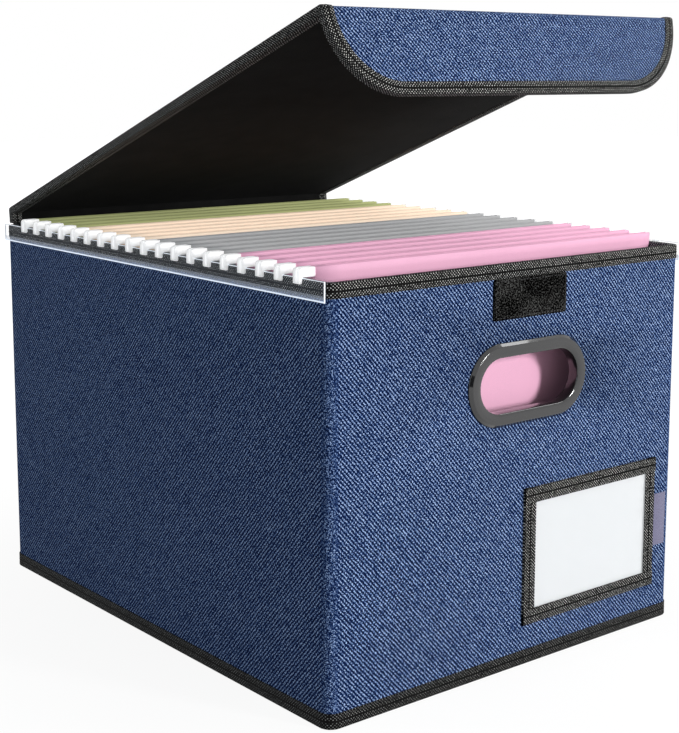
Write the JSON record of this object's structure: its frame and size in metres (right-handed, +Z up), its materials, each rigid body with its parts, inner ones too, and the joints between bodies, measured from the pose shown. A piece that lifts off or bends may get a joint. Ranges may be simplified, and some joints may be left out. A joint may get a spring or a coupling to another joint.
{
  "type": "portable file box",
  "caption": "Linen-covered portable file box with a hinged lid, closing flap, clear side rails, coloured hanging folders, oval handle rings and a label pocket.",
  "frame": {"origin": "middle of the flat underside of the base", "axes": "+Z up, +X to the right along the front wall, +Y from the front wall to the hinged back wall"},
  "size_m": [0.3232, 0.4072, 0.4279],
  "materials": {
    "greyboard": "matte",
    "blue_linen": "matte",
    "black_lining": "matte",
    "black_tape": "matte",
    "gunmetal_plastic": "gloss",
    "loop_pile": "matte",
    "hook_pile": "matte",
    "clear_film": "gloss",
    "white_card": "matte",
    "satin_tab": "satin",
    "clear_rail": "gloss",
    "green_card": "matte",
    "peach_card": "matte",
    "grey_card": "matte",
    "pink_card": "matte"
  },
  "bodies": {
    "box": {"floor_board": "greyboard", "floor_insert": "black_lining", "base_cloth": "black_lining", "lining": "black_lining", "linen_sleeve": "blue_linen", "left_wall_board": "greyboard", "right_wall_board": "greyboard", "front_wall_board": "greyboard", "back_wall_board": "greyboard", "rim_binding": "black_tape", "base_binding": "black_tape", "front_handle_ring": "gunmetal_plastic", "front_handle_backing": "gunmetal_plastic", "back_handle_ring": "gunmetal_plastic", "back_handle_backing": "gunmetal_plastic", "loop_patch": "loop_pile", "label_window": "clear_film", "label_binding_top": "black_tape", "label_binding_bottom": "black_tape", "label_binding_left": "black_tape", "label_binding_right": "black_tape", "side_tab": "satin_tab", "left_rail": "clear_rail", "right_rail": "clear_rail", "hinge_tape": "black_tape"},
    "label_card": {"label_card": "white_card"},
    "hinge_strip": {"hinge_linen": "blue_linen", "hinge_lining": "black_lining"},
    "lid": {"lid_board": "greyboard", "lid_linen": "blue_linen", "lid_lining": "black_lining", "lid_binding": "black_tape"},
    "flap": {"flap_board": "greyboard", "flap_linen": "blue_linen", "flap_lining": "black_lining", "flap_binding": "black_tape", "hook_patch": "hook_pile"},
    "green_folder_1": {"green_folder_1": "green_card"},
    "green_folder_2": {"green_folder_2": "green_card"},
    "green_folder_3": {"green_folder_3": "green_card"},
    "green_folder_4": {"green_folder_4": "green_card"},
    "peach_folder_1": {"peach_folder_1": "peach_card"},
    "peach_folder_2": {"peach_folder_2": "peach_card"},
    "peach_folder_3": {"peach_folder_3": "peach_card"},
    "peach_folder_4": {"peach_folder_4": "peach_card"},
    "peach_folder_5": {"peach_folder_5": "peach_card"},
    "grey_folder_1": {"grey_folder_1": "grey_card"},
    "grey_folder_2": {"grey_folder_2": "grey_card"},
    "grey_folder_3": {"grey_folder_3": "grey_card"},
    "grey_folder_4": {"grey_folder_4": "grey_card"},
    "grey_folder_5": {"grey_folder_5": "grey_card"},
    "pink_folder_1": {"pink_folder_1": "pink_card"},
    "pink_folder_2": {"pink_folder_2": "pink_card"},
    "pink_folder_3": {"pink_folder_3": "pink_card"},
    "pink_folder_4": {"pink_folder_4": "pink_card"},
    "pink_folder_5": {"pink_folder_5": "pink_card"}
  },
  "joints": [
    {"name": "hinge_fold", "type": "hinge", "parent": "box", "child": "hinge_strip", "pos_m": [0, 0.1998, 0.2751], "axis": [-1, 0, 0], "range_deg": [0, 34]},
    {"name": "lid_fold", "type": "hinge", "parent": "hinge_strip", "child": "lid", "pos_m": [0, 0.20042, 0.2813], "axis": [-1, 0, 0], "range_deg": [-20.3, 159.7]},
    {"name": "flap_fold", "type": "hinge", "parent": "lid", "child": "flap", "pos_m": [0, -0.18787, 0.42493], "axis": [-1, 0, 0], "range_deg": [-2.5, 96]},
    {"name": "card_slide", "type": "slide", "parent": "box", "child": "label_card", "axis": [0, 0, 1], "range_m": [0, 0.048]},
    {"name": "green_folder_1_slide", "type": "slide", "parent": "box", "child": "green_folder_1", "axis": [0, 1, 0], "range_m": [-0.0059, 0.024]},
    {"name": "green_folder_2_slide", "type": "slide", "parent": "box", "child": "green_folder_2", "axis": [0, 1, 0], "range_m": [-0.0059, 0.0059]},
    {"name": "green_folder_3_slide", "type": "slide", "parent": "box", "child": "green_folder_3", "axis": [0, 1, 0], "range_m": [-0.0059, 0.0059]},
    {"name": "green_folder_4_slide", "type": "slide", "parent": "box", "child": "green_folder_4", "axis": [0, 1, 0], "range_m": [-0.0059, 0.0059]},
    {"name": "peach_folder_1_slide", "type": "slide", "parent": "box", "child": "peach_folder_1", "axis": [0, 1, 0], "range_m": [-0.0059, 0.0059]},
    {"name": "peach_folder_2_slide", "type": "slide", "parent": "box", "child": "peach_folder_2", "axis": [0, 1, 0], "range_m": [-0.0059, 0.0059]},
    {"name": "peach_folder_3_slide", "type": "slide", "parent": "box", "child": "peach_folder_3", "axis": [0, 1, 0], "range_m": [-0.0059, 0.0059]},
    {"name": "peach_folder_4_slide", "type": "slide", "parent": "box", "child": "peach_folder_4", "axis": [0, 1, 0], "range_m": [-0.0059, 0.0059]},
    {"name": "peach_folder_5_slide", "type": "slide", "parent": "box", "child": "peach_folder_5", "axis": [0, 1, 0], "range_m": [-0.0059, 0.0059]},
    {"name": "grey_folder_1_slide", "type": "slide", "parent": "box", "child": "grey_folder_1", "axis": [0, 1, 0], "range_m": [-0.0059, 0.0059]},
    {"name": "grey_folder_2_slide", "type": "slide", "parent": "box", "child": "grey_folder_2", "axis": [0, 1, 0], "range_m": [-0.0059, 0.0059]},
    {"name": "grey_folder_3_slide", "type": "slide", "parent": "box", "child": "grey_folder_3", "axis": [0, 1, 0], "range_m": [-0.0059, 0.0059]},
    {"name": "grey_folder_4_slide", "type": "slide", "parent": "box", "child": "grey_folder_4", "axis": [0, 1, 0], "range_m": [-0.0059, 0.0059]},
    {"name": "grey_folder_5_slide", "type": "slide", "parent": "box", "child": "grey_folder_5", "axis": [0, 1, 0], "range_m": [-0.0059, 0.0059]},
    {"name": "pink_folder_1_slide", "type": "slide", "parent": "box", "child": "pink_folder_1", "axis": [0, 1, 0], "range_m": [-0.0059, 0.0059]},
    {"name": "pink_folder_2_slide", "type": "slide", "parent": "box", "child": "pink_folder_2", "axis": [0, 1, 0], "range_m": [-0.0059, 0.0059]},
    {"name": "pink_folder_3_slide", "type": "slide", "parent": "box", "child": "pink_folder_3", "axis": [0, 1, 0], "range_m": [-0.0059, 0.0059]},
    {"name": "pink_folder_4_slide", "type": "slide", "parent": "box", "child": "pink_folder_4", "axis": [0, 1, 0], "range_m": [-0.0059, 0.0059]},
    {"name": "pink_folder_5_slide", "type": "slide", "parent": "box", "child": "pink_folder_5", "axis": [0, 1, 0], "range_m": [-0.014, 0.0059]}
  ]
}
